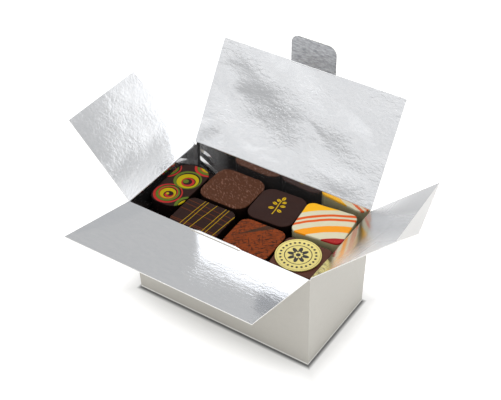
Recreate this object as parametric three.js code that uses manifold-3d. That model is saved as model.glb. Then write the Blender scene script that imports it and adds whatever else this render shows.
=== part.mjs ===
// An open card carton of chocolate pralines: a tapered box with four hinged
// top flaps and a tuck tab, filled to just below its rim.
// Millimetres, +Z up. The origin is the centre of the base, +X runs along
// the long side and -Y is the front. The flaps stand as they were left open.
import * as THREE from "three";
import { mergeVertices } from "three/addons/utils/BufferGeometryUtils.js";
import Module from "manifold-3d";

// Driving dimensions of the carton.
const RIM_LENGTH = 125;
const RIM_WIDTH = 68;
const RIM_HEIGHT = 71;
const BASE_LENGTH = 121.8;
const BASE_WIDTH = 63;
const CARD = 0.5;
const FLOOR = 1.1;

// The creases lie one above the other, so that the flaps close as a stack:
// left, front, right, then the lid.
const LEFT_CREASE = 69.3;
const CREASE_STEP = 0.75;
const FRONT_CREASE = LEFT_CREASE + CREASE_STEP;
const RIGHT_CREASE = FRONT_CREASE + CREASE_STEP;
const LID_CREASE = RIGHT_CREASE + CREASE_STEP;
const CREASE_GAP = 0.55;
const WALL_BELOW_CREASE = 0.3;

// Flaps: reach from the crease, half widths, and how far each stands open.
// Zero degrees is closed over the box, 90 upright and 180 level outwards.
const SIDE_HALF_WIDTH = 33.1;
const SIDE_FREE_HALF_WIDTH = 30.3;
const SIDE_REACH = 58.8;
const FRONT_HALF_WIDTH = 61.7;
const FRONT_REACH = 56.8;
const LID_HALF_WIDTH = 62.3;
const LID_REACH = 66.7;
const LEFT_OPEN = 136.6;
const RIGHT_OPEN = 135.3;
const FRONT_OPEN = 166.5;
const LID_OPEN = 122.1;

// The right flap runs out to a chamfered front corner, which is bent away
// along a crease from the near edge to the far corner.
const NEAR_EDGE_REACH = 65.8;
const NEAR_EDGE_HALF_WIDTH = 29.9;
const CORNER_FROM_MIDDLE = 23;
const CORNER_HEIGHT = 9.8;
const CORNER_BEND = 20;

// Tuck tab on the lid, and the slit for it in the front crease.
const TAB_MIDDLE = 0.9;
const TAB_WIDTH = 30.6;
const TAB_LENGTH = 18.6;
const TAB_CORNER = 5.5;
const TAB_BEND = 31;
const TAB_CLEARANCE = 0.3;
const SLIT_WIDTH = 33.8;
const SLIT_DEPTH = 1.7;
const TONGUE_HEIGHT = 1.1;
const TONGUE_SLOPE = 4.5;

// Filling: the pralines that show rest on the layers under them.
const LAYER_TOP = 51.7;
const REST_GAP = 0.3;
const SEAL_RADIUS = 13.2;
const SEAL_THICKNESS = 0.8;
const SEAL_OFFSET_X = 1.4;
const SEAL_OFFSET_Y = -0.4;

const degrees = THREE.MathUtils.degToRad;
const wasm = await Module();
wasm.setup();

const card = new THREE.MeshStandardMaterial({ color: 0xbdb9af, roughness: 0.5, metalness: 0.1 });
const silver = new THREE.MeshStandardMaterial({ color: 0xc8cbce, roughness: 0.15, metalness: 1 });
const gold = new THREE.MeshStandardMaterial({ color: 0xd8c983, roughness: 0.4, metalness: 0.5 });

function chocolate(color) {
  return new THREE.MeshStandardMaterial({ color, roughness: 0.45, metalness: 0 });
}

// Turns a closed geometry into a solid that can be joined and cut.
function toSolid(geometry) {
  const bare = geometry.clone();
  bare.deleteAttribute("normal");
  bare.deleteAttribute("uv");
  const merged = mergeVertices(bare, 1e-4);
  const vertProperties = new Float32Array(merged.attributes.position.array);
  const triVerts = new Uint32Array(merged.index.array);
  return new wasm.Manifold(new wasm.Mesh({ numProp: 3, vertProperties, triVerts }));
}

function toGeometry(solid) {
  const mesh = solid.getMesh();
  const geometry = new THREE.BufferGeometry();
  geometry.setAttribute("position", new THREE.BufferAttribute(mesh.vertProperties, 3));
  geometry.setIndex(new THREE.BufferAttribute(mesh.triVerts, 1));
  const faceted = geometry.toNonIndexed();
  faceted.computeVertexNormals();
  return faceted;
}

function named(name, geometry, material) {
  const mesh = new THREE.Mesh(geometry, material);
  mesh.name = name;
  return mesh;
}

// A box between two heights whose footprint grows evenly from bottom to top.
function taperedBlock(bottomLength, bottomWidth, topLength, topWidth, bottom, top) {
  const block = new THREE.BoxGeometry(1, 1, 1);
  const place = block.attributes.position;
  for (let i = 0; i < place.count; i += 1) {
    const upper = place.getZ(i) > 0;
    place.setX(i, place.getX(i) * (upper ? topLength : bottomLength));
    place.setY(i, place.getY(i) * (upper ? topWidth : bottomWidth));
    place.setZ(i, upper ? top : bottom);
  }
  return block;
}

// The wall's footprint at a height, with the walls' outward lean.
function lengthAt(height) {
  return BASE_LENGTH + ((RIM_LENGTH - BASE_LENGTH) * height) / RIM_HEIGHT;
}

function widthAt(height) {
  return BASE_WIDTH + ((RIM_WIDTH - BASE_WIDTH) * height) / RIM_HEIGHT;
}

function blockInWalls(inset, bottom, top) {
  return taperedBlock(
    lengthAt(bottom) - 2 * inset,
    widthAt(bottom) - 2 * inset,
    lengthAt(top) - 2 * inset,
    widthAt(top) - 2 * inset,
    bottom,
    top,
  );
}

// A shape from its corner points, given in turn as x and y.
function polygon(points) {
  return new THREE.Shape(points.map(([x, y]) => new THREE.Vector2(x, y)));
}

function sheet(shape) {
  const plate = new THREE.ExtrudeGeometry(shape, { depth: CARD, bevelEnabled: false, curveSegments: 8 });
  plate.translate(0, 0, -CARD / 2);
  return plate;
}

function cutBox(x0, x1, y0, y1, z0, z1) {
  const box = new THREE.BoxGeometry(x1 - x0, y1 - y0, z1 - z0);
  box.translate((x0 + x1) / 2, (y0 + y1) / 2, (z0 + z1) / 2);
  return box;
}

// The front wall above its top edge is cut away, except for the low tongue
// that stands up behind the slit.
function frontWallCut(wallTop) {
  const far = RIM_LENGTH;
  const slitStart = TAB_MIDDLE - SLIT_WIDTH / 2;
  const slitEnd = TAB_MIDDLE + SLIT_WIDTH / 2;
  const outline = polygon([
    [-far, wallTop],
    [slitStart, wallTop],
    [slitStart + TONGUE_SLOPE, wallTop + TONGUE_HEIGHT],
    [slitEnd - TONGUE_SLOPE, wallTop + TONGUE_HEIGHT],
    [slitEnd, wallTop],
    [far, wallTop],
    [far, wallTop + RIM_HEIGHT],
    [-far, wallTop + RIM_HEIGHT],
  ]);
  const reach = 4;
  const cut = new THREE.ExtrudeGeometry(outline, { depth: reach, bevelEnabled: false });
  cut.rotateX(degrees(90));
  cut.translate(0, -RIM_WIDTH / 2 + reach / 2, 0);
  return cut;
}

// Base and four walls, each wall ending just below its own crease.
function cartonBody() {
  const top = LID_CREASE - WALL_BELOW_CREASE;
  const far = RIM_LENGTH;
  const innerX = RIM_LENGTH / 2 - 2 * CARD;
  const outer = toSolid(blockInWalls(0, 0, top));
  const hollow = toSolid(blockInWalls(CARD, FLOOR, top + FLOOR));
  const leftCut = cutBox(-far, -innerX, -far, far, LEFT_CREASE - WALL_BELOW_CREASE, far);
  const rightCut = cutBox(innerX, far, -far, far, RIGHT_CREASE - WALL_BELOW_CREASE, far);
  const frontCut = frontWallCut(FRONT_CREASE - WALL_BELOW_CREASE);
  let body = outer.subtract(hollow);
  for (const cut of [leftCut, rightCut, frontCut]) body = body.subtract(toSolid(cut));
  return named("carton_body", toGeometry(body), card);
}

// A flap's plate lies along its own +Y, from its crease outwards.
function leftFlap() {
  const shape = polygon([
    [-SIDE_HALF_WIDTH, CREASE_GAP],
    [SIDE_HALF_WIDTH, CREASE_GAP],
    [SIDE_FREE_HALF_WIDTH, SIDE_REACH],
    [-SIDE_FREE_HALF_WIDTH, SIDE_REACH],
  ]);
  return named("left_flap", sheet(shape), silver);
}

function rightFlap() {
  const near = new THREE.Vector2(-NEAR_EDGE_HALF_WIDTH, NEAR_EDGE_REACH);
  const farCorner = new THREE.Vector2(SIDE_FREE_HALF_WIDTH, SIDE_REACH - CARD);
  const main = sheet(
    polygon([
      [-SIDE_HALF_WIDTH, CREASE_GAP],
      [SIDE_HALF_WIDTH, CREASE_GAP],
      [farCorner.x, farCorner.y],
      [near.x, near.y],
    ]),
  );
  // The corner is drawn with the crease along its own X, then bent and laid
  // against the main plate.
  const crease = farCorner.clone().sub(near);
  const corner = sheet(
    polygon([
      [0, 0],
      [crease.length(), 0],
      [NEAR_EDGE_HALF_WIDTH - CORNER_FROM_MIDDLE, CORNER_HEIGHT],
    ]),
  );
  corner.rotateX(degrees(CORNER_BEND));
  corner.rotateZ(crease.angle());
  corner.translate(near.x, near.y, 0);
  const solid = toSolid(main).add(toSolid(corner));
  return named("right_flap", toGeometry(solid), silver);
}

function frontFlap() {
  const slitStart = TAB_MIDDLE - SLIT_WIDTH / 2;
  const slitEnd = TAB_MIDDLE + SLIT_WIDTH / 2;
  const shape = polygon([
    [-FRONT_HALF_WIDTH, CREASE_GAP],
    [slitStart, CREASE_GAP],
    [slitStart, CREASE_GAP + SLIT_DEPTH],
    [slitEnd, CREASE_GAP + SLIT_DEPTH],
    [slitEnd, CREASE_GAP],
    [FRONT_HALF_WIDTH, CREASE_GAP],
    [FRONT_HALF_WIDTH, FRONT_REACH],
    [-FRONT_HALF_WIDTH, FRONT_REACH],
  ]);
  return named("front_flap", sheet(shape), silver);
}

function lid() {
  const recess = TAB_WIDTH / 2 + TAB_CLEARANCE;
  const shape = polygon([
    [-LID_HALF_WIDTH, CREASE_GAP],
    [LID_HALF_WIDTH, CREASE_GAP],
    [LID_HALF_WIDTH, LID_REACH],
    [recess - TAB_MIDDLE, LID_REACH],
    [recess - TAB_MIDDLE, LID_REACH - 2 * CARD],
    [-recess - TAB_MIDDLE, LID_REACH - 2 * CARD],
    [-recess - TAB_MIDDLE, LID_REACH],
    [-LID_HALF_WIDTH, LID_REACH],
  ]);
  return named("lid", sheet(shape), silver);
}

function lidTab() {
  const half = TAB_WIDTH / 2;
  const shape = new THREE.Shape();
  shape.moveTo(-half, CREASE_GAP);
  shape.lineTo(half, CREASE_GAP);
  shape.lineTo(half, TAB_LENGTH - TAB_CORNER);
  shape.absarc(half - TAB_CORNER, TAB_LENGTH - TAB_CORNER, TAB_CORNER, 0, Math.PI / 2, false);
  shape.absarc(TAB_CORNER - half, TAB_LENGTH - TAB_CORNER, TAB_CORNER, Math.PI / 2, Math.PI, false);
  return named("lid_tab", sheet(shape), silver);
}

// Hangs a flap on its crease: heading turns its plate over the box and open
// lifts it from there.
function hinged(flap, x, y, z, heading, open) {
  const crease = new THREE.Group();
  crease.position.set(x, y, z);
  crease.rotation.z = degrees(heading);
  const leaf = new THREE.Group();
  leaf.rotation.x = degrees(open);
  leaf.add(flap);
  crease.add(leaf);
  return crease;
}

function roundedRectangle(length, width, corner) {
  const x = length / 2 - corner;
  const y = width / 2 - corner;
  const quarter = Math.PI / 2;
  const shape = new THREE.Shape();
  shape.absarc(x, -y, corner, -quarter, 0, false);
  shape.absarc(x, y, corner, 0, quarter, false);
  shape.absarc(-x, y, corner, quarter, 2 * quarter, false);
  shape.absarc(-x, -y, corner, 2 * quarter, 3 * quarter, false);
  return shape;
}

// The pralines of the top layer: middle on the layer, size along and across
// the carton, turn about the vertical, corner and edge radius, and the
// height that the top reaches.
const rings = {
  name: "praline_rings",
  colour: 0x36241f,
  middle: [-49.8, 0.2],
  size: [22.4, 40],
  turn: 1.5,
  corner: 8.3,
  edge: 1.2,
  top: 65.2,
};
const milk = {
  name: "praline_milk",
  colour: 0x5c3a2e,
  middle: [-21.3, 14.4],
  size: [33.2, 30.6],
  turn: 0.5,
  corner: 8,
  edge: 1.5,
  top: 64.8,
};
const plaid = {
  name: "praline_plaid",
  colour: 0x342321,
  middle: [-21.1, -17.3],
  size: [32.8, 26.5],
  turn: 1.3,
  corner: 5,
  edge: 0.9,
  top: 65,
};
const printed = {
  name: "praline_printed",
  colour: 0x382726,
  middle: [10.8, 14],
  size: [29.4, 29],
  turn: 3.9,
  corner: 7,
  edge: 1.1,
  top: 64.8,
};
const rust = {
  name: "praline_rust",
  colour: 0x8c4119,
  middle: [14.6, -16.9],
  size: [30, 27.8],
  turn: 2.1,
  corner: 5.4,
  edge: 1.1,
  top: 65,
};
const striped = {
  name: "praline_striped",
  colour: 0xe8e2c4,
  middle: [42.15, 15.5],
  size: [31.8, 28.2],
  turn: 7.4,
  corner: 4.6,
  edge: 1.8,
  top: 66.2,
};
const sealed = {
  name: "praline_sealed",
  colour: 0x5c372c,
  middle: [45.3, -15.6],
  size: [29.8, 27.6],
  turn: 5,
  corner: 4,
  edge: 2,
  top: 65,
};

// One praline: a block with round corners and a softened top and bottom
// edge, standing on the layer below.
function praline({ name, colour, middle, size, turn, corner, edge, top }) {
  const base = LAYER_TOP + REST_GAP;
  const shape = roundedRectangle(size[0], size[1], corner);
  const geometry = new THREE.ExtrudeGeometry(shape, {
    depth: top - base - 2 * edge,
    bevelThickness: edge,
    bevelSize: edge,
    bevelOffset: -edge,
    bevelSegments: 3,
    curveSegments: 6,
  });
  const piece = named(name, geometry, chocolate(colour));
  piece.position.set(middle[0], middle[1], base + edge);
  piece.rotation.z = degrees(turn);
  return piece;
}

// A thin gold disc that lies on one praline, a little off its middle.
function goldSeal() {
  const disc = new THREE.CylinderGeometry(SEAL_RADIUS, SEAL_RADIUS, SEAL_THICKNESS, 64);
  disc.rotateX(degrees(90));
  const seal = named("gold_seal", disc, gold);
  const [x, y] = sealed.middle;
  seal.position.set(x - SEAL_OFFSET_X, y + SEAL_OFFSET_Y, sealed.top + REST_GAP + SEAL_THICKNESS / 2);
  return seal;
}

// The layers that the photograph doesn't show, as one plain block.
function lowerLayers() {
  const block = blockInWalls(2 * CARD, FLOOR + REST_GAP, LAYER_TOP);
  return named("lower_layers", block, chocolate(0x2c1d19));
}

const part = new THREE.Group();
part.add(cartonBody());
part.add(lowerLayers());
for (const entry of [rings, milk, plaid, printed, rust, striped, sealed]) part.add(praline(entry));
part.add(goldSeal());

const creaseX = RIM_LENGTH / 2 - CARD / 2;
const creaseY = RIM_WIDTH / 2 - CARD / 2;
part.add(hinged(leftFlap(), -creaseX, 0, LEFT_CREASE, -90, LEFT_OPEN));
part.add(hinged(frontFlap(), 0, -creaseY, FRONT_CREASE, 0, FRONT_OPEN));
part.add(hinged(rightFlap(), creaseX, 0, RIGHT_CREASE, 90, RIGHT_OPEN));

const lidLeaf = new THREE.Group();
lidLeaf.add(lid());
lidLeaf.add(hinged(lidTab(), -TAB_MIDDLE, LID_REACH - CARD, 0, 0, -TAB_BEND));
part.add(hinged(lidLeaf, 0, creaseY, LID_CREASE, 180, LID_OPEN));

export default part;
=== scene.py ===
"""An open card carton of chocolate pralines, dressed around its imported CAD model."""
import math

import bpy
from mathutils import Matrix, Vector, noise


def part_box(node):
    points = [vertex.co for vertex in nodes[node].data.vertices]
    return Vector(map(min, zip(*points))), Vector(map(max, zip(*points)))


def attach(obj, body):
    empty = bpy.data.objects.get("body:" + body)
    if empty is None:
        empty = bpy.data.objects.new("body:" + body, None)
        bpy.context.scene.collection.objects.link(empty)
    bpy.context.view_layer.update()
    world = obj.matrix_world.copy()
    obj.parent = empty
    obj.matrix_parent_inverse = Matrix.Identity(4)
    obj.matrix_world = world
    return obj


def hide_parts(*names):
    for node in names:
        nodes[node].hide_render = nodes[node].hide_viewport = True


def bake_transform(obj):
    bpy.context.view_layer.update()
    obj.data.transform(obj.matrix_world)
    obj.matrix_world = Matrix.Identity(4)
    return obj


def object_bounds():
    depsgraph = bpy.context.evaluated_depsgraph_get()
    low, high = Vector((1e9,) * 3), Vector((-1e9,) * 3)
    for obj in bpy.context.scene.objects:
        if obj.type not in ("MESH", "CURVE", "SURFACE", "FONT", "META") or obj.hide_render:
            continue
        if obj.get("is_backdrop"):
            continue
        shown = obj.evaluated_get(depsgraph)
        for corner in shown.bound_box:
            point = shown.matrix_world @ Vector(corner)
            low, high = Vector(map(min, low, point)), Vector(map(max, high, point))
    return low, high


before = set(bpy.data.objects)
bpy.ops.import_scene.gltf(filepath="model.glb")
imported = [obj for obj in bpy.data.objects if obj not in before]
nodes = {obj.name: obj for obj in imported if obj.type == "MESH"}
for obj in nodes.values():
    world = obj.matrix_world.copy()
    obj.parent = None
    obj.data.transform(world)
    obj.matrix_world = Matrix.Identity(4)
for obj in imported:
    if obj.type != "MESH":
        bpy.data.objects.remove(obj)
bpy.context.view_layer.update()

# The camera stands at the front right and looks down into the carton, with a
# long lens and a slight lean, as the picture was taken.
CAMERA_PLACE = Vector((0.28975, -0.420125, 0.496125))
CAMERA_AZIMUTH = math.radians(34.462)
CAMERA_ELEVATION = math.radians(39.534)
CAMERA_ROLL = math.radians(-1.219)
CAMERA_LENS = 82.2227

level = math.cos(CAMERA_ELEVATION)
towards_camera = Vector((
    math.sin(CAMERA_AZIMUTH) * level,
    -math.cos(CAMERA_AZIMUTH) * level,
    math.sin(CAMERA_ELEVATION),
))
level_right = Vector((0, 0, 1)).cross(towards_camera).normalized()
level_up = towards_camera.cross(level_right)
camera_right = math.cos(CAMERA_ROLL) * level_right + math.sin(CAMERA_ROLL) * level_up
camera_up = math.cos(CAMERA_ROLL) * level_up - math.sin(CAMERA_ROLL) * level_right
lens = bpy.data.cameras.new("camera")
lens.sensor_width = 36
lens.lens = CAMERA_LENS
lens.clip_start = 0.01
lens.clip_end = 20
camera = bpy.data.objects.new("camera", lens)
turned = Matrix((camera_right, camera_up, towards_camera)).transposed().to_4x4()
camera.matrix_world = Matrix.Translation(CAMERA_PLACE) @ turned
bpy.context.scene.collection.objects.link(camera)
bpy.context.scene.camera = camera


# The studio: a pale floor under a soft white ceiling of light. The room round
# it is greyer and lit unevenly, which the silver card picks up.
FLOOR_HALF = 3000
FLOOR_HEIGHT = -0.8
FLOOR_COLOUR = (0.8, 0.8, 0.8, 1)
FLOOR_PALER = (0.82, 0.82, 0.82, 1)
# Painted shadow: the floor's colour and its glow darken near the carton's foot.
FLOOR_SHADOW_BY_CARTON = (0.16, 0.16, 0.16, 1)
FLOOR_GLOW = 0.5
GLOW_SHADOWED_BY_CARTON = (0.05, 0.05, 0.05, 1)
GLOW_AWAY = (1, 1, 1, 1)
FOOT_HALF_LENGTH = 60.9
FOOT_HALF_WIDTH = 31.5
HORIZON_LIGHT = 0.54
FRONT_LIGHT = 0.3
FRONT_TOP_LIGHT = 0.14
FRONT_BANK_LIGHT = 0.12
RIGHT_LIGHT = 0.06
LOW_RIGHT_LIGHT = 0.05
BACK_RIGHT_LIGHT = 0.75
BACK_LEFT_LIGHT = 0.05
CEILING_LIGHT = 1.75
CEILING_STARTS = 0.62
CEILING_FULL = 0.75


class Wire:
    """A shader socket. Arithmetic on it adds Math nodes, and node adds any other."""

    def __init__(self, tree, socket=None):
        self.tree = tree
        self.socket = socket

    def node(self, kind, settings=None, inputs=None, output=0):
        made = self.tree.nodes.new("ShaderNode" + kind)
        for name, value in (settings or {}).items():
            setattr(made, name, value)
        for name, value in (inputs or {}).items():
            if isinstance(value, Wire):
                self.tree.links.new(value.socket, made.inputs[name])
            else:
                made.inputs[name].default_value = value
        return Wire(self.tree, made.outputs[output])

    def math(self, operation, *others):
        values = dict(enumerate((self, *others)))
        return self.node("Math", {"operation": operation}, values)

    def __add__(self, other):
        return self.math("ADD", other)

    def __sub__(self, other):
        return self.math("SUBTRACT", other)

    def __rsub__(self, other):
        return self.node("Math", {"operation": "SUBTRACT"}, {0: other, 1: self})

    def __mul__(self, other):
        return self.math("MULTIPLY", other)

    def __truediv__(self, other):
        return self.math("DIVIDE", other)

    def __abs__(self):
        return self.math("ABSOLUTE")

    __radd__ = __add__
    __rmul__ = __mul__

    def rise(self, low, high):
        """0 below low, 1 above high and straight between; it falls where low is the larger."""
        return self.node("MapRange", None, {0: self, 1: low, 2: high, 3: 0, 4: 1})

    def ease(self, low, high):
        """As rise, with soft ends."""
        settings = {"interpolation_type": "SMOOTHSTEP"}
        return self.node("MapRange", settings, {0: self, 1: low, 2: high, 3: 0, 4: 1})

    def mix(self, none, full):
        """The colour none where this is 0 and full where it is 1."""
        return self.node("Mix", {"data_type": "RGBA"}, {0: self, 6: none, 7: full}, 2)

    def split(self):
        """The x, y and z of a place."""
        return [self.node("SeparateXYZ", None, {0: self}, i) for i in range(3)]

    def along(self, direction):
        """How far a place lies along a direction."""
        settings = {"operation": "DOT_PRODUCT"}
        return self.node("VectorMath", settings, {0: self, 1: direction}, "Value")

    def noise(self, scale, detail=2.0, roughness=0.5, distortion=0.0):
        values = {"Scale": scale, "Detail": detail, "Roughness": roughness}
        values |= {"Vector": self, "Distortion": distortion}
        return self.node("TexNoise", None, values)

    def relief(self, depth=0.001):
        """The normal of a surface with this height, in the unit that depth gives in metres."""
        return self.node("Bump", None, {"Strength": 1, "Distance": depth, "Height": self})


def joined(x, y, z=0.0):
    """A place from its x, y and z."""
    return x.node("CombineXYZ", None, {0: x, 1: y, 2: z})


def tone(red, green, blue):
    """A colour as a painter's 0 to 255 values, in the light that a shader needs."""
    values = [v / 255 for v in (red, green, blue)]
    light = [v / 12.92 if v < 0.04045 else ((v + 0.055) / 1.055) ** 2.4 for v in values]
    return (*light, 1)


def new_material(name):
    """A material, its surface shader, and the object's own coordinates in it in mm."""
    made = bpy.data.materials.new(name)
    made.use_nodes = True
    tree = made.node_tree
    shader = tree.nodes["Principled BSDF"]
    place = Wire(tree).node("TexCoord", output="Object")
    settings = {"operation": "SCALE"}
    scaled = place.node("VectorMath", settings, {0: place, "Scale": 1000.0})
    return made, shader, scaled


def dress(shader, **channels):
    """Sets the surface shader's sockets, named with _ for a space, to values or wires."""
    for name, value in channels.items():
        socket = shader.inputs[name.replace("_", " ")]
        if isinstance(value, Wire):
            value.tree.links.new(value.socket, socket)
        else:
            socket.default_value = value


def new_object(name, points, faces, material, smooth=True):
    """A mesh object from points in mm."""
    mesh = bpy.data.meshes.new(name)
    mesh.from_pydata([[v / 1000 for v in p] for p in points], [], faces)
    mesh.validate()
    for polygon in mesh.polygons:
        polygon.use_smooth = smooth
    made = bpy.data.objects.new(name, mesh)
    bpy.context.scene.collection.objects.link(made)
    for finish in material if isinstance(material, list) else [material]:
        mesh.materials.append(finish)
    return made


world = bpy.data.worlds.new("studio")
world.use_nodes = True
bpy.context.scene.world = world
sky = world.node_tree.nodes["Background"]
sky_way = Wire(world.node_tree).node("TexCoord", output="Generated")
sky_x, sky_y, sky_z = sky_way.split()

# The light by its direction: x runs to the right, y to the back and z up.
front_side = sky_y.rise(-0.2, -0.5)
front = sky_z.rise(0.235, 0.3) * FRONT_LIGHT + sky_z.rise(0.39, 0.46) * FRONT_TOP_LIGHT
front_bank = sky_z.rise(0.37, 0.31) * sky_z.rise(0.15, 0.25) * FRONT_BANK_LIGHT
right = sky_x.rise(0.0, 0.5) * RIGHT_LIGHT
low_right = sky_x.rise(0.5, 0.95) * sky_z.rise(0.5, 0.2) * LOW_RIGHT_LIGHT
back_right = (sky_y - sky_z * 0.5).rise(0.3, 0.345) * sky_x.rise(0.25, 0.45) * BACK_RIGHT_LIGHT
back_left = sky_y.rise(0.5, 0.8) * sky_x.rise(0.0, -0.3) * BACK_LEFT_LIGHT
lights = front_side * (front + front_bank) + back_left + low_right + back_right + right
broad_patches = (sky_way.noise(2.5, 2, 0.5, 0.4) - 0.5) * 0.25
small_patches = (sky_way.noise(12, 2, 0.5) - 0.5) * front_side * 0.55
horizon = (lights + HORIZON_LIGHT) * (small_patches + (broad_patches + 1))
ceiling_nearer = sky_y.rise(0.5, 0.3) * sky_y.rise(0.0, 0.1) * 0.12
ceiling = (sky_z + ceiling_nearer).rise(CEILING_STARTS, CEILING_FULL)
sky_light = (1 - ceiling) * horizon + ceiling * CEILING_LIGHT
world.node_tree.links.new(sky_light.socket, sky.inputs["Strength"])
sky.inputs["Color"].default_value = (1, 1, 1, 1)
bpy.context.scene.view_settings.view_transform = "Standard"

floor_finish, floor_shader, floor_place = new_material("studio_floor")
floor_x, floor_y = floor_place.split()[:2]
from_carton = (abs(floor_x) - FOOT_HALF_LENGTH).math("MAXIMUM", abs(floor_y) - FOOT_HALF_WIDTH)
# Painted shadow: the floor's glow fades over 20 mm towards the carton, and its colour turns dark within
# 2.6 mm of the foot, a painted contact shadow.
floor_glow_and_shadow = from_carton.rise(0, 20).mix(GLOW_SHADOWED_BY_CARTON, GLOW_AWAY)
floor_tone_and_shadow = floor_place.noise(0.05).mix(FLOOR_COLOUR, FLOOR_PALER)
floor_tone_and_shadow = from_carton.rise(0.6, 2.6).mix(FLOOR_SHADOW_BY_CARTON, floor_tone_and_shadow)
dress(
    floor_shader,
    Base_Color=floor_tone_and_shadow,
    Roughness=0.9,
    Specular_IOR_Level=0.06,
    Emission_Color=floor_glow_and_shadow,
    Emission_Strength=FLOOR_GLOW,
)

FLOOR_CORNERS = ((-1, -1), (1, -1), (1, 1), (-1, 1))
floor_points = [(x * FLOOR_HALF, y * FLOOR_HALF, FLOOR_HEIGHT) for x, y in FLOOR_CORNERS]
floor = new_object("studio_floor", floor_points, [(0, 1, 2, 3)], floor_finish, False)
floor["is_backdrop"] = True


# The carton is cut from one card, laminated with silver foil inside and
# printed with a pearl grey outside. Its base and walls are the CAD's own.
RIM_LENGTH = 125.0
RIM_WIDTH = 68.0
RIM_HEIGHT = 71.0
BASE_LENGTH = 121.8
BASE_WIDTH = 63.0
CARD = 0.5
LENGTH_LEAN = (RIM_LENGTH - BASE_LENGTH) / 2 / RIM_HEIGHT
WIDTH_LEAN = (RIM_WIDTH - BASE_WIDTH) / 2 / RIM_HEIGHT
PEARL = tone(177, 174, 167)
PEARL_SHADE = tone(171, 168, 160)
CARD_EDGE = tone(232, 231, 227)
SILVER = tone(243, 243, 244)
SILVER_SHADE = tone(226, 229, 233)


def crinkles(place, strength=1.0):
    """The fine crumpled skin of foil on card, as a height in mm. It is calmer in places."""
    fine = place.noise(0.55, 3, 0.6, 0.8) * 0.1
    dents = place.noise(0.16, 1, 0.5, 0.6) * 0.1
    return (fine + dents) * (place.noise(0.035, 1).rise(0.4, 0.6) * 0.7 + 0.3) * strength


def fibres(place):
    """The faint tooth of printed card, as a height in mm."""
    return place.noise(2.2, 2) * 0.012


def card_finish(card, silver_side, edge_side, foil_place, strength, form, dull, foil_tone=SILVER):
    """Pearl card with silver where silver_side is 1 and its white core where edge_side is, and a
    painted highlight of white along its foot. The foil's crinkles have this strength, form adds a
    height in mm to it, and dull takes off shine."""
    made, shader, place = card
    pearl = place.noise(0.35, 3).mix(PEARL, PEARL_SHADE)
    # Painted highlight: within 1.5 mm of the floor the pearl turns to card-edge white, a painted line of
    # light along the foot.
    foot_highlight = place.split()[2].rise(1.5, 0.9) * 0.9
    printed = edge_side.mix(foot_highlight.mix(pearl, CARD_EDGE), CARD_EDGE)
    colour = silver_side.mix(printed, foil_tone)
    skin = crinkles(foil_place, strength) + form
    bump = silver_side * skin + (1 - silver_side) * fibres(place)
    shine = silver_side * (1 - dull)
    dress(
        shader,
        Base_Color=colour,
        Metallic=shine,
        Roughness=0.42 - shine * 0.33,
        Normal=bump.relief(),
    )
    return made


carton = new_material("carton_card")
carton_place = carton[2]
x, y, z = carton_place.split()
depth_in_length = z * LENGTH_LEAN + BASE_LENGTH / 2 - abs(x)
depth_in_width = z * WIDTH_LEAN + BASE_WIDTH / 2 - abs(y)
depth = depth_in_length.math("MINIMUM", depth_in_width)
inside = depth.rise(CARD * 0.85, CARD * 0.95) * z.rise(0.3, 0.5)
cut_edge = depth.rise(0.05, 0.1) * z.rise(0.3, 0.5)
tongue = z.rise(69.8, 69.9) * y.rise(-30, -31) * abs(x).rise(18, 17.9)
inside = inside.math("MAXIMUM", tongue)
on_left = x.rise(-BASE_LENGTH / 2 + 2, -BASE_LENGTH / 2)
on_back = y.rise(BASE_WIDTH / 2 - 2, BASE_WIDTH / 2) * (1 - on_left)


def fold(away, reach, height):
    """A straight fold pressed into the card, as a height in mm."""
    return abs(away).rise(reach, 0) * height


# Both walls of the back left corner were creased when the card was folded up,
# and the foil there is a little scuffed.
near_corner = on_back * x.rise(-38, -41)
left_fold = fold(z - 66.5 + (y - 15) * 0.72, 4.0, 1.6) * on_left * y.rise(9, 13)
back_fold = fold(z - 57.2 + (x + 56) * 0.54, 3.2, 2.0) * near_corner
from_arc = ((x + 57) * (x + 57) + (z - 57) * (z - 57)).math("SQRT") - 7.5
arc_fold = fold(from_arc, 2.5, 1.0) * near_corner * z.rise(58, 60)
bow = z * on_left * 0.25 - z * on_back * 0.04 + left_fold + back_fold + arc_fold
scuff = x.rise(-36, -46) * y.rise(6, 16) * 0.14 + 0.02
carton_finish = card_finish(carton, inside, cut_edge, carton_place, 0.35, bow, scuff)
nodes["carton_body"].data.materials.clear()
nodes["carton_body"].data.materials.append(carton_finish)


# The four flaps and the tuck tab go on from the walls past a scored crease.
# Each is the CAD's own plate, silver on the face that was inside when closed.
class Leaf:
    """Where a flap lies: the middle of its crease, along it, outwards on it, and its pearl side."""

    def __init__(self, hinge, heading, opened):
        self.hinge = Vector(hinge)
        turn = Matrix.Rotation(math.radians(heading), 3, "Z")
        opened = math.radians(opened)
        self.along = turn @ Vector((1, 0, 0))
        self.out = turn @ Vector((0, math.cos(opened), math.sin(opened)))
        self.outer = turn @ Vector((0, -math.sin(opened), math.cos(opened)))


TAB_MIDDLE = 0.9
LEFT = Leaf((-62.25, 0, 69.3), -90, 136.6)
FRONT = Leaf((0, -33.75, 70.05), 0, 166.5)
RIGHT = Leaf((62.25, 0, 70.8), 90, 135.3)
LID = Leaf((0, 33.75, 71.55), 180, 122.1)
TAB = Leaf((TAB_MIDDLE, 68.929, 127.629), 180, 91.1)


def flap_place(place, leaf):
    """The place on a flap: mm along its crease, out from it, and towards its pearl side."""
    offset = place.node("VectorMath", {"operation": "SUBTRACT"}, {0: place, 1: leaf.hinge})
    return [offset.along(way) for way in (leaf.along, leaf.out, leaf.outer)]


def dip(u, w, middle, reach, turn, slope):
    """A shallow oval where the card leans by slope in its middle, as a height in mm."""
    c, s = math.cos(math.radians(turn)), math.sin(math.radians(turn))
    du, dw = u - middle[0], w - middle[1]
    a = (du * c + dw * s) / reach[0]
    b = (dw * c - du * s) / reach[1]
    inner = (1 - a * a - b * b).math("MAXIMUM", 0)
    return b * inner * inner * (slope * reach[1])


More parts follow.
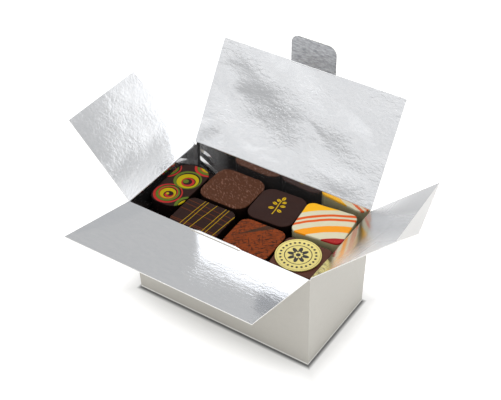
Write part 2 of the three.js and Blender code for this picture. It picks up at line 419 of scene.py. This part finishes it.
def silver_flap(name, leaf, stretch, strength, dips=(), painted_tone=None, calm=None, curl=0):
    """The finish of a flap, its foil's crinkles drawn out along the crease, with shallow dips. The
    foil is calm below the first of two places along the crease, and crumpled past the second. It
    curls over this many mm near the crease. A function passed in for the painted tone gives
    another side, and a tone and dullness painted in as reflected light."""
    flap = new_material(name + "_card")
    u, w, side = flap_place(flap[2], leaf)
    if calm:
        strength = (u.rise(*calm) * 0.75 + 0.25) * strength
    foil_place = joined(u * stretch, w)
    foil = foil_place.noise(0.35, 4, 0.7, 1.0).mix(SILVER, SILVER_SHADE)
    dull = 0.0
    # Painted reflection: the flap's own tone and dullness stand in for light the foil would mirror.
    if painted_tone:
        side, foil, dull = painted_tone(u, w, side, foil_place)
    form = 0.0
    if curl:
        form = w.ease(-curl, curl) * (-0.13 * curl)
    if dips:
        astray = (foil_place.noise(0.07, 1, 0.6, 0.5) - 0.5) * 9
    for middle, reach, turn, slope in dips:
        form = dip(u + astray, w + astray, middle, reach, turn, slope) + form
    silver = side.rise(-CARD * 0.4, -CARD * 0.48)
    core = side.rise(CARD * 0.48, CARD * 0.4)
    finish = card_finish(flap, silver, core, foil_place, strength, form, dull, foil)
    nodes[name].data.materials.clear()
    nodes[name].data.materials.append(finish)


NEAR_EDGE = (-29.9, 65.8)
FAR_CORNER = (30.3, 58.3)
CORNER_BEND = math.radians(20)
# Painted reflections: the bent corner's pale and the far side's grey stand in for light the foil would
# mirror.
CORNER_REFLECTION_PALE = tone(222, 221, 219)
FAR_SIDE_REFLECTION_GREY = tone(172, 173, 175)


def bent_corner(u, w, side, foil_place):
    """How far a point lies outside the right flap's sheet, where its corner is bent away, and the
    foil's tone and dullness there, painted in as reflected light: the bent corner is painted pale
    and dull as a painted reflection of the bright room, the far side painted grey and dull, the
    middle greyer than silver and duller further out, and the near side keeps real scratches,
    painted bright as hairs of painted glint."""
    run_u, run_w = FAR_CORNER[0] - NEAR_EDGE[0], FAR_CORNER[1] - NEAR_EDGE[1]
    whole = math.hypot(run_u, run_w)
    past = (w - NEAR_EDGE[1]) * (run_u / whole) - (u - NEAR_EDGE[0]) * (run_w / whole)
    past = past.math("MAXIMUM", 0)
    is_past = past.rise(0, 0.01)
    bent_side = side * math.cos(CORNER_BEND) - past * math.sin(CORNER_BEND)
    backward = u + w * 0.4376
    far_side = backward.rise(22, 29)
    near_side = backward.rise(12, -16)
    # Real scratches, painted near white as a painted glint.
    hairs = joined((u * 0.8 + w * 0.6) * 0.12, w * 0.8 - u * 0.6).noise(1.4, 3, 0.6).rise(0.35, 0.65)
    scratches_and_glint = hairs.mix(tone(226, 226, 226), tone(254, 254, 254))
    sheet_reflection_tone = far_side.mix(near_side.mix(tone(190, 191, 192), scratches_and_glint), FAR_SIDE_REFLECTION_GREY)
    sheet_dull = far_side * 0.45 + w.rise(20, 44) * 0.4 + near_side * w.rise(13, 24) * 0.35
    dull = (is_past * 0.8).math("MAXIMUM", sheet_dull)
    return is_past * bent_side + (1 - is_past) * side, is_past.mix(sheet_reflection_tone, CORNER_REFLECTION_PALE), dull


def tab_painted_grey(u, w, side, foil_place):
    """The tab's foil is painted grey in spots and made half dull, a painted reflection of the grey it
    mirrors.
    """
    spots = foil_place.noise(0.7, 4, 0.7).rise(0.35, 0.65)
    return side, spots.mix(tone(142, 144, 148), tone(196, 198, 200)), 0.5


silver_flap("left_flap", LEFT, 0.9, 0.6, curl=22)
silver_flap("front_flap", FRONT, 0.4, 0.8, calm=(-25, 10))
silver_flap("right_flap", RIGHT, 0.5, 0.7, painted_tone=bent_corner)

# Each dip: its middle, its reach both ways, its turn in degrees and its slope.
LID_DIPS = (
    ((24, 40), (52, 36), 29, 0.13),
    ((-29, 30), (30, 22), 20, 0.075),
    ((-40, 6), (24, 14), 0, 0.07),
    ((57, 4), (16, 12), -40, 0.12),
)
silver_flap("lid", LID, 0.6, 2.0, LID_DIPS)
silver_flap("lid_tab", TAB, 0.35, 1.6, painted_tone=tab_painted_grey)


# Each crease is a scored strip of the same card, which bends between the wall
# and its flap. Inside it is silver, outside pearl.
CREASE_GAP = 0.55
WALL_BELOW = 0.3
TAB_GAP = 0.5
CREASE_STEPS = 6
SIDE_HALF = 33.1
FRONT_HALF = 61.7
LID_HALF = 62.3
TAB_HALF = 15.3
SLIT_WIDTH = 33.8

foil_strip, strip_shader, strip_place = new_material("crease_foil")
dress(
    strip_shader,
    Base_Color=strip_place.noise(0.8).mix(SILVER, tone(214, 216, 219)),
    Metallic=1.0,
    Roughness=0.16,
    Normal=(strip_place.noise(1.2) * 0.02).relief(),
)
pearl_strip, pearl_shader, pearl_place = new_material("crease_pearl")
dress(
    pearl_shader,
    Base_Color=pearl_place.noise(0.8).mix(PEARL, CARD_EDGE),
    Roughness=0.45,
    Normal=(pearl_place.noise(2.0) * 0.02).relief(),
)


def crease_strip(name, leaf, start, start_outer, spans):
    """A strip from start, the middle of the wall's or lid's edge, to the flap's near edge. It
    covers these spans along the crease."""
    end = leaf.hinge + leaf.out * CREASE_GAP
    points, faces = [], []
    across = []
    for i in range(CREASE_STEPS + 1):
        t = i / CREASE_STEPS
        bend = start * (1 - t) ** 2 + leaf.hinge * 2 * t * (1 - t) + end * t * t
        outer = (start_outer * (1 - t) + leaf.outer * t).normalized() * CARD / 2
        across.append((bend, outer))
    for span in spans:
        first = len(points)
        for bend, outer in across:
            for side in span:
                for way in (-1, 1):
                    points.append(bend + outer * way + leaf.along * side)
        for i in range(CREASE_STEPS):
            a, b = first + 4 * i, first + 4 * i + 4
            for j, k in ((0, 2), (2, 3), (3, 1), (1, 0)):
                faces.append((a + j, a + k, b + k, b + j))
        last = first + 4 * CREASE_STEPS
        faces.append((first, first + 1, first + 3, first + 2))
        faces.append((last, last + 2, last + 3, last + 1))
    strip = new_object(name, points, faces, [foil_strip, pearl_strip], False)
    per_span = 4 * CREASE_STEPS + 2
    for polygon in strip.data.polygons:
        step = polygon.index % per_span
        polygon.material_index = 0 if step < per_span - 2 and step % 4 == 0 else 1
    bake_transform(strip)


def wall_top(leaf, way, lean):
    """The middle of a wall's cut top below a flap, and the wall's outward direction."""
    outer = Vector((way[0], way[1], -lean)).normalized()
    drop = Vector((way[0] * lean, way[1] * lean, 1)) * WALL_BELOW
    return leaf.hinge - drop, outer


SLIT_START = TAB_MIDDLE - SLIT_WIDTH / 2
SLIT_END = TAB_MIDDLE + SLIT_WIDTH / 2
SIDE_SPANS = ((-SIDE_HALF, SIDE_HALF),)
FRONT_SPANS = ((-FRONT_HALF, SLIT_START), (SLIT_END, FRONT_HALF))
LID_SPANS = ((-LID_HALF, LID_HALF),)
TAB_SPANS = ((-TAB_HALF, TAB_HALF),)
CREASES = (
    ("left", "left_flap", LEFT, (-1, 0), LENGTH_LEAN, SIDE_SPANS),
    ("right", "right_flap", RIGHT, (1, 0), LENGTH_LEAN, SIDE_SPANS),
    ("front", "front_flap", FRONT, (0, -1), WIDTH_LEAN, FRONT_SPANS),
    ("lid", "lid", LID, (0, 1), WIDTH_LEAN, LID_SPANS),
)
for name, body, leaf, way, lean, spans in CREASES:
    top, outer = wall_top(leaf, way, lean)
    crease_strip(name + "_crease_strip", leaf, top, outer, spans)
lid_edge = TAB.hinge - LID.out * TAB_GAP
crease_strip("tab_crease_strip", TAB, lid_edge, LID.outer, TAB_SPANS)


# Under the top layer the carton is filled with more pralines, of which only
# the dark gaps show. The CAD's block stands for them.
filling, filling_shader, filling_place = new_material("filling")
dress(
    filling_shader,
    Base_Color=filling_place.noise(0.12, 2).mix(tone(20, 13, 12), tone(34, 22, 20)),
    Roughness=0.6,
    Specular_IOR_Level=0.15,
    Normal=(filling_place.noise(0.5) * 0.1).relief(),
)
nodes["lower_layers"].data.materials.clear()
nodes["lower_layers"].data.materials.append(filling)


# The long praline with rings: a slim moulded bar of dark chocolate. Its top
# took the coloured rings from a printed transfer sheet.
DARK = tone(36, 20, 16)
BLOOMED = tone(43, 26, 22)
# Painted shade: the near black sides of the dark pralines.
SIDE_SHADE_DARK = tone(17, 10, 9)
WANDER_SEED = 12
noise.seed_set(WANDER_SEED)
OUTLINE_POINTS = 144
DRAFT = 0.2
EDGE_STEPS = 6


def rounded(length, width, corner, count):
    """Points evenly round a rectangle with round corners, from the middle of its right side."""
    corner = min(corner, length / 2, width / 2)
    x, y = length / 2 - corner, width / 2 - corner
    arc = math.pi * corner / 2
    whole = 4 * arc + 4 * x + 4 * y
    legs = [(y, None, (x + corner, 0), (0, 1))]
    turns = (((x, y), 2 * x), ((-x, y), 2 * y), ((-x, -y), 2 * x), ((x, -y), y))
    for turn, ((cx, cy), run) in enumerate(turns):
        from_angle, to_angle = turn * math.pi / 2, (turn + 1) * math.pi / 2
        legs.append((arc, from_angle, (cx, cy), None))
        end = (cx + corner * math.cos(to_angle), cy + corner * math.sin(to_angle))
        legs.append((run, None, end, (-math.sin(to_angle), math.cos(to_angle))))
    points = []
    for i in range(count):
        s = whole * i / count
        for size, angle, start, way in legs:
            if s <= size:
                break
            s -= size
        if angle is None:
            points.append((start[0] + way[0] * s, start[1] + way[1] * s))
        else:
            t = angle + s / corner
            points.append((start[0] + corner * math.cos(t), start[1] + corner * math.sin(t)))
    return points


def ring_faces(ring_count, count):
    """Four-sided faces between closed rings of count points each."""
    faces = []
    for a in range(0, (ring_count - 1) * count, count):
        for j in range(count):
            k = (j + 1) % count
            faces.append((a + j, a + k, a + count + k, a + count + j))
    return faces


def praline(name, finish, size, corner, edge, turn, dome=0.3, wander=0.12, inner=22, rough=None):
    """A praline that replaces the CAD's plain one: an outline of this size and corner radius,
    softened edges and a slightly domed top of inner rings, all wandering a little. It is turned
    by some degrees. rough adds a height in mm to the top."""
    low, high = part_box("praline_" + name)
    middle = (low + high) / 2
    tall = (high.z - low.z) * 1000
    steps = [(edge * 0.5 + DRAFT, 0.0), (DRAFT, edge * 0.5)]
    for i in range(EDGE_STEPS):
        a = i / (EDGE_STEPS - 1) * math.pi / 2
        steps.append((edge * (1 - math.cos(a)), tall - dome - edge + edge * math.sin(a)))
    points, faces = [], []
    seed = Vector((len(name) * 7.3, ord(name[0]) * 1.7, ord(name[1]) * 0.9))

    def outline_at(inset):
        inset_size = [side - 2 * inset for side in size]
        return rounded(*inset_size, corner - inset * 0.6, OUTLINE_POINTS)

    def add_ring(outline, z, lift):
        for px, py in outline:
            p = Vector((px, py, z))
            shift = noise.noise_vector(p * 0.11 + seed) * wander
            up = noise.noise(p * 0.16 + seed) * wander * lift
            if rough and lift:
                up += rough(px, py, seed) * lift
            points.append((px + shift.x, py + shift.y, z + up))

    for inset, z in steps:
        add_ring(outline_at(inset), z, 1.0 if z > tall / 2 else 0.0)
    rim = outline_at(edge)
    for i in range(1, inner):
        share = 1 - i / inner
        z = tall - dome + dome * (1 - share ** 2)
        add_ring([(px * share, py * share) for px, py in rim], z, 1.0)
    ring_count = len(steps) + inner - 1
    faces += ring_faces(ring_count, OUTLINE_POINTS)
    points.append((0, 0, tall))
    last = (ring_count - 1) * OUTLINE_POINTS
    for j in range(OUTLINE_POINTS):
        faces.append((last + j, last + (j + 1) % OUTLINE_POINTS, len(points) - 1))
    faces.append(tuple(reversed(range(OUTLINE_POINTS))))
    made = new_object(name + "_praline", points, faces, finish)
    made.location = (middle.x, middle.y, low.z)
    made.rotation_euler.z = math.radians(turn)
    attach(made, "carton")
    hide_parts("praline_" + name)
    return made


def disc(x, y, middle, radius, soft=0.12):
    """1 inside a disc, with a slightly soft edge."""
    dx, dy = x - middle[0], y - middle[1]
    return (dx * dx + dy * dy).math("SQRT").rise(radius + soft, radius - soft)


def top_over_shaded_side(z, tall, colour, side):
    """colour on the top face, and side below its edge, where side is a darker painted shade."""
    return z.rise(tall - 0.95, tall - 0.6).mix(side, colour)


GREEN = tone(78, 95, 28)
OLIVE = tone(156, 139, 2)
RED = tone(157, 38, 34)

# Each ring: where its middle lies in its set, its radius and its paint.
RED_SET = (
    ((0, 0), 8.95, RED),
    ((0.25, 0.35), 7.8, DARK),
    ((0.0, 0.0), 7.24, GREEN),
    ((-0.15, 0.62), 5.88, RED),
    ((0.05, 0.6), 5.18, DARK),
    ((0.05, 0.05), 4.87, OLIVE),
    ((0.95, -0.7), 3.1, DARK),
    ((1.3, -0.85), 2.64, RED),
    ((1.45, 0.15), 1.9, DARK),
    ((0.0, -0.3), 0.95, OLIVE),
)
GREEN_SET = (
    ((0, 0), 8.65, GREEN),
    ((0.5, 0.0), 7.24, DARK),
    ((0.6, -0.8), 6.8, OLIVE),
    ((1.6, -1.5), 4.4, DARK),
    ((1.35, -1.65), 4.05, RED),
    ((0.87, -1.55), 2.9, DARK),
    ((-0.2, -1.6), 1.75, GREEN),
)

# Each set of rings: its middle on the praline, and the rings in it.
RINGS_TOP = 13.2
RING_SETS = (
    ((-1.5, -10.8), RED_SET),
    ((-16.05, 9.2), RED_SET),
    ((6.2, 22.3), RED_SET),
    ((1.6, 5.55), GREEN_SET),
    ((15.8, -14.3), GREEN_SET),
)
rings_finish, shader, place = new_material("ringed_dark_chocolate")
x, y, z = place.split()
bloom = place.noise(0.15, 3)
colour = bloom.mix(DARK, BLOOMED)
for middle, rings in RING_SETS:
    for offset, radius, paint in rings:
        mask = disc(x, y, (middle[0] + offset[0], middle[1] + offset[1]), radius)
        colour = mask.mix(colour, paint)
dress(
    shader,
    Base_Color=top_over_shaded_side(z, RINGS_TOP, colour, SIDE_SHADE_DARK),
    Roughness=bloom * 0.1 + 0.42,
    Specular_IOR_Level=0.06,
    Normal=(place.noise(0.6, 2) * 0.02).relief(),
)
rings_praline = praline("rings", rings_finish, (22.4, 40.0), corner=8.3, edge=0.5, turn=1.5, dome=0.25)


# The milk chocolate praline was dipped and then dragged over a rough sheet,
# which left rows of short raised dashes on its top.
MILK = tone(66, 37, 22)
MILK_PALER = tone(78, 45, 28)
MILK_DASH_HIGHLIGHT = tone(124, 88, 74)
# Painted shade: the milk praline's sides, far darker than its top.
MILK_SHADED_SIDE = tone(24, 13, 10)
MILK_TOP = 12.8
DASH_TURN = math.radians(-39)


def dashes(px, py, seed):
    """Short raised strokes, all leaning the same way, in mm."""
    u = px * math.cos(DASH_TURN) + py * math.sin(DASH_TURN)
    v = py * math.cos(DASH_TURN) - px * math.sin(DASH_TURN)
    grain = noise.noise(Vector((u * 0.35, v * 0.95, 2.0)) + seed)
    return max(grain, 0) ** 1.5 * 0.5 + noise.noise(Vector((px, py, 0)) * 1.3) * 0.05


milk_finish, shader, place = new_material("rough_milk_chocolate")
x, y, z = place.split()
c, s = math.cos(DASH_TURN), math.sin(DASH_TURN)
lean = joined((x * c + y * s) * 0.5, (y * c - x * s) * 1.35, z * 0.2)
strokes = lean.noise(0.9, 1, 0.4).rise(0.58, 0.68)
mottle = place.noise(0.3, 4, 0.6)
colour = mottle.mix(MILK, MILK_PALER)
# The raised dashes are painted paler, a painted highlight where the strokes catch the light.
colour = (strokes * 0.62).mix(colour, MILK_DASH_HIGHLIGHT)
grains = place.noise(1.6, 3, 0.6)
dress(
    shader,
    Base_Color=top_over_shaded_side(z, MILK_TOP, colour, MILK_SHADED_SIDE),
    Roughness=0.55 - strokes * 0.12,
    Specular_IOR_Level=0.08,
    Normal=(strokes * 0.16 + grains * 0.05).relief(),
)
milk_praline = praline(
    "milk",
    milk_finish,
    (33.2, 30.6),
    corner=8.0,
    edge=0.6,
    turn=0.5,
    wander=0.2,
    inner=40,
    rough=dashes,
)


# The checked praline is a smooth dark square with a printed plaid of thin
# yellow lines one way and brown lines the other.
YELLOW = tone(164, 130, 12)
BROWN = tone(90, 43, 17)
PLAID_TOP = 13.0

# Each line: where it crosses the middle, and its lean.
YELLOW_LINES = ((-7.14, 0.084), (-4.85, 0.06), (0.3, 0.126), (7.48, 0.066), (9.72, 0.06), (15.2, 0.1))
BROWN_LINES = ((8.3, -0.06), (4.6, -0.08), (0.4, -0.05), (-8.6, -0.013), (-9.8, -0.014))
plaid_finish, shader, place = new_material("plaid_dark_chocolate")
x, y, z = place.split()
bloom = place.noise(0.2, 3)
colour = bloom.mix(DARK, BLOOMED)
for at, slope in BROWN_LINES:
    line = abs(y - x * slope - at).rise(0.3, 0.12)
    colour = line.mix(colour, BROWN)
for at, slope in YELLOW_LINES:
    line = abs(x - y * slope - at).rise(0.26, 0.1)
    colour = line.mix(colour, YELLOW)
dress(
    shader,
    Base_Color=top_over_shaded_side(z, PLAID_TOP, colour, SIDE_SHADE_DARK),
    Roughness=bloom * 0.1 + 0.4,
    Specular_IOR_Level=0.06,
    Normal=(place.noise(0.5, 2) * 0.02).relief(),
)
plaid_praline = praline("plaid", plaid_finish, (32.8, 26.5), corner=5.0, edge=0.5, turn=1.3, dome=0.25)


# The printed praline is satin dark chocolate. A small sprig of leaves is
# printed on it in yellow cocoa butter.
PRINT = tone(192, 156, 16)
SATIN_DARK = tone(40, 22, 18)
SATIN_PALER = tone(50, 31, 26)
PRINTED_TOP = 12.8

# Each leaf: where it starts, its direction in degrees and its length.
LEAVES = (
    (-0.91, -1.6, 200, 4.2),
    (0.84, -2.0, -25, 4.2),
    (-0.875, 1.6, 160, 4.0),
    (0.805, 1.2, 15, 4.0),
    (-0.7, 4.6, 140, 3.4),
    (0.665, 4.2, 38, 3.4),
    (0.0, 6.2, 90, 4.4),
)
print_finish, shader, place = new_material("printed_dark_chocolate")
x, y, z = place.split()
bloom = place.noise(0.1, 2)
colour = bloom.mix(SATIN_DARK, SATIN_PALER)
sprig = abs(x + (y * 0.35).math("SINE") * 0.35).rise(0.3, 0.2) * abs(y + 0.4).rise(6.9, 6.7)
for leaf_x, leaf_y, angle, size in LEAVES:
    c, s = math.cos(math.radians(angle)), math.sin(math.radians(angle))
    dx, dy = x - leaf_x, y - leaf_y
    along = (dx * c + dy * s) / size - 0.5
    across = abs(dy * c - dx * s)
    leaf_mask = (1.15 - along * along * 4.6 - across).rise(0.0, 0.15)
    vein = across.rise(0.12, 0.2)
    sprig = sprig.math("MAXIMUM", leaf_mask * vein)
colour = sprig.mix(colour, PRINT)
dress(
    shader,
    Base_Color=top_over_shaded_side(z, PRINTED_TOP, colour, SIDE_SHADE_DARK),
    Roughness=bloom * 0.12 + 0.4,
    Specular_IOR_Level=0.07,
    Normal=(place.noise(0.35, 2) * 0.03).relief(),
)
printed_praline = praline("printed", print_finish, (29.4, 29.0), corner=7.0, edge=0.5, turn=3.9, dome=0.25)


# The rust praline was brushed with orange brown cocoa butter, scratched
# through to the dark chocolate, with one dark wedge of bare chocolate.
RUST = tone(104, 42, 12)
RUST_PALER = tone(132, 60, 21)
SCRATCHED = tone(40, 24, 16)
BARE = tone(50, 37, 26)
# Painted shade: the rust praline's sides, darker than its top.
RUST_SHADED_SIDE = tone(22, 13, 10)
RUST_TOP = 13.0
rust_finish, shader, place = new_material("scratched_rust_coating")
x, y, z = place.split()
warp = place.noise(0.1, 2)
streak_x = x * 0.82 + y * 0.57
streak_y = y * 0.82 - x * 0.57
scratch_place = joined(streak_x * 0.35 + warp * 1.5, streak_y * 1.3 + warp * 3, 0)
scratches = scratch_place.noise(0.85, 3, 0.6, 0.4).rise(0.54, 0.6)
crossing = joined(streak_y * 0.16, streak_x * 1.1 + warp * 2, 4).noise(1.0, 2, 0.5, 0.2)
lengthwise = joined(streak_x * 0.14, streak_y * 1.5 + warp * 2, 9).noise(1.1, 2, 0.5, 0.2)
scratches = scratches.math("MAXIMUM", crossing.rise(0.6, 0.66) * 0.8)
scratches = scratches.math("MAXIMUM", lengthwise.rise(0.58, 0.64) * 0.9)
mottle = place.noise(0.35, 4, 0.65)
colour = mottle.mix(RUST, RUST_PALER)
colour = (scratches * 0.9).mix(colour, SCRATCHED)
wedge_x = (x + 11.0) * 0.674 + (y + 2.5) * 0.739
wedge_y = (y + 2.5) * 0.674 - (x + 11.0) * 0.739
wavy = wedge_y + (place.noise(0.3, 2) - 0.5) * 1.6
wedge = (wedge_x * 0.1 - abs(wavy)).rise(-0.2, 0.25) * wedge_x.rise(0, 2)
colour = (wedge * 0.85).mix(colour, BARE)
dress(
    shader,
    Base_Color=top_over_shaded_side(z, RUST_TOP, colour, RUST_SHADED_SIDE),
    Roughness=scratches * 0.1 + 0.45,
    Specular_IOR_Level=0.07,
    Normal=(scratches * -0.06 + mottle * 0.05).relief(),
)
rust_praline = praline("rust", rust_finish, (30.0, 27.8), corner=5.4, edge=0.5, turn=2.1, dome=0.25)


# The striped praline is cast in ivory white chocolate. Slanting bands of
# amber, orange and red cocoa butter were brushed into its mould.
IVORY = tone(188, 181, 148)
IVORY_PALER = tone(204, 200, 176)
# Painted shade: the ivory praline's sides, darker than its top.
IVORY_SHADED_SIDE = tone(160, 152, 116)
IVORY_SPECK = tone(150, 130, 80)
IVORY_TOP = 13.5
SLANT = math.radians(26.5)

# Each band: its two edges across the slant, and its paint.
BANDS = (
    (10.9, 30.0, tone(226, 166, 0)),
    (4.9, 7.0, tone(200, 76, 0)),
    (1.2, 3.2, tone(200, 78, 0)),
    (-8.6, -3.3, tone(222, 140, 0)),
    (-30.0, -13.9, tone(150, 14, 14)),
)


def between(height, low, high, soft=0.12):
    """1 between two heights, with slightly soft edges."""
    return height.rise(low - soft, low + soft) * height.rise(high + soft, high - soft)


striped_finish, shader, place = new_material("striped_ivory_coating")
x, y, z = place.split()
s_along = x * math.cos(SLANT) + y * math.sin(SLANT)
t_across = y * math.cos(SLANT) - x * math.sin(SLANT)
from_middle = s_along - 2.9
level_line = t_across + from_middle * from_middle * 0.0067 + (place.noise(0.12, 1) - 0.5) * 0.8
brushed = joined(s_along * 0.08, level_line, 0).noise(1.6, 3, 0.6)
colour = brushed.mix(IVORY, IVORY_PALER)
for low_edge, high_edge, paint in BANDS:
    colour = between(level_line, low_edge, high_edge).mix(colour, paint)
specks = place.node("TexVoronoi", None, {"Vector": place, "Scale": 0.22}).rise(0.07, 0.05)
colour = (specks * 0.6).mix(colour, IVORY_SPECK)
dress(
    shader,
    Base_Color=top_over_shaded_side(z, IVORY_TOP, colour, IVORY_SHADED_SIDE),
    Roughness=brushed * 0.1 + 0.3,
    Specular_IOR_Level=0.2,
    Normal=(brushed * 0.05).relief(),
)
striped_praline = praline("striped", striped_finish, (31.8, 28.2), corner=4.6, edge=0.5, turn=7.4)


# The sealed praline is plain milk chocolate with bevelled edges. A gold
# disc lies on it.
SMOOTH_MILK = tone(68, 34, 22)
SMOOTH_MILK_PALER = tone(80, 43, 29)
# Painted shade: the sealed praline's sides.
SMOOTH_MILK_SHADED_SIDE = tone(20, 9, 6)
sealed_finish, shader, place = new_material("smooth_milk_chocolate")
x, y, z = place.split()
mottle = place.noise(0.18, 3)
colour = mottle.mix(SMOOTH_MILK, SMOOTH_MILK_PALER)
dress(
    shader,
    # Painted shade: below 12.6 mm the bevel and sides darken towards the bottom.
    Base_Color=z.rise(10.6, 12.6).mix(SMOOTH_MILK_SHADED_SIDE, colour),
    Roughness=mottle * 0.12 + 0.36,
    Specular_IOR_Level=0.15,
    Normal=(place.noise(0.4, 2) * 0.05).relief(),
)
sealed_praline = praline("sealed", sealed_finish, (29.8, 27.6), corner=4.0, edge=2.0, turn=5, dome=0.1)


# The gold disc is stamped from thin gold card, with a raised rim. A plain
# rosette and a ring of beads are printed on it in dark brown.
GOLD = tone(210, 196, 116)
GOLD_SHADE = tone(204, 189, 114)
INK = tone(24, 20, 14)
SEAL_RADIUS = 13.2
SEAL_PLATE = 0.62
SEAL_TURN = math.radians(12)
SEAL_COUNT = 96
PETALS = 8
BEADS = 24
BEAD_CIRCLE = 10.1
seal_finish, shader, place = new_material("gold_disc")
x, y, z = place.split()
radius = (x * x + y * y).math("SQRT")
angle = y.math("ARCTAN2", x)
petals = abs((angle * (PETALS / 2)).math("COSINE"))
rosette = (petals * 3.8 + 2.7 - radius).rise(0.0, 0.25) * (petals * 0.9 + 1.9 - radius).rise(0.15, -0.1)
heart = radius.rise(1.5, 1.3)
bead_turn = (angle * (BEADS / (2 * math.pi)) + 0.5).math("FRACT") - 0.5
bead_x = bead_turn * (2 * math.pi / BEADS * BEAD_CIRCLE)
bead_y = radius - BEAD_CIRCLE
beads = (bead_x * bead_x + bead_y * bead_y).rise(0.62, 0.4)
inner_line = abs(radius - 7.7).rise(0.3, 0.18)
outer_line = abs(radius - 12.3).rise(0.2, 0.1)
ink = rosette
for mark in (heart, beads, inner_line, outer_line * 0.5):
    ink = ink.math("MAXIMUM", mark)
grain = place.noise(0.9, 3)
dress(
    shader,
    Base_Color=ink.mix(grain.mix(GOLD, GOLD_SHADE), INK),
    Metallic=0.35 - ink * 0.35,
    Roughness=0.36 + ink * 0.2,
    Normal=(ink * -0.08 + grain * 0.01).relief(),
)

# The disc in rings from its underside over the rim to the plate: inset, height.
seal_steps = [(0.15, 0.0), (0.0, 0.15), (0.0, SEAL_PLATE), (0.18, 0.8), (0.5, 0.78)]
seal_steps += [(inset, SEAL_PLATE) for inset in (0.75, 3, 6, 9, 12)]
points = []
for inset, z in seal_steps:
    for i in range(SEAL_COUNT):
        a = 2 * math.pi * i / SEAL_COUNT
        ring = SEAL_RADIUS - inset
        points.append((ring * math.cos(a), ring * math.sin(a), z))
faces = [tuple(reversed(range(SEAL_COUNT)))]
faces += ring_faces(len(seal_steps), SEAL_COUNT)
faces.append(tuple(range(len(points) - SEAL_COUNT, len(points))))
low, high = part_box("gold_seal")
seal = new_object("gold_disc", points, faces, seal_finish)
seal.location = ((low.x + high.x) / 2, (low.y + high.y) / 2, low.z)
seal.rotation_euler.z = SEAL_TURN
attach(seal, "carton")
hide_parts("gold_seal")


low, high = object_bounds()
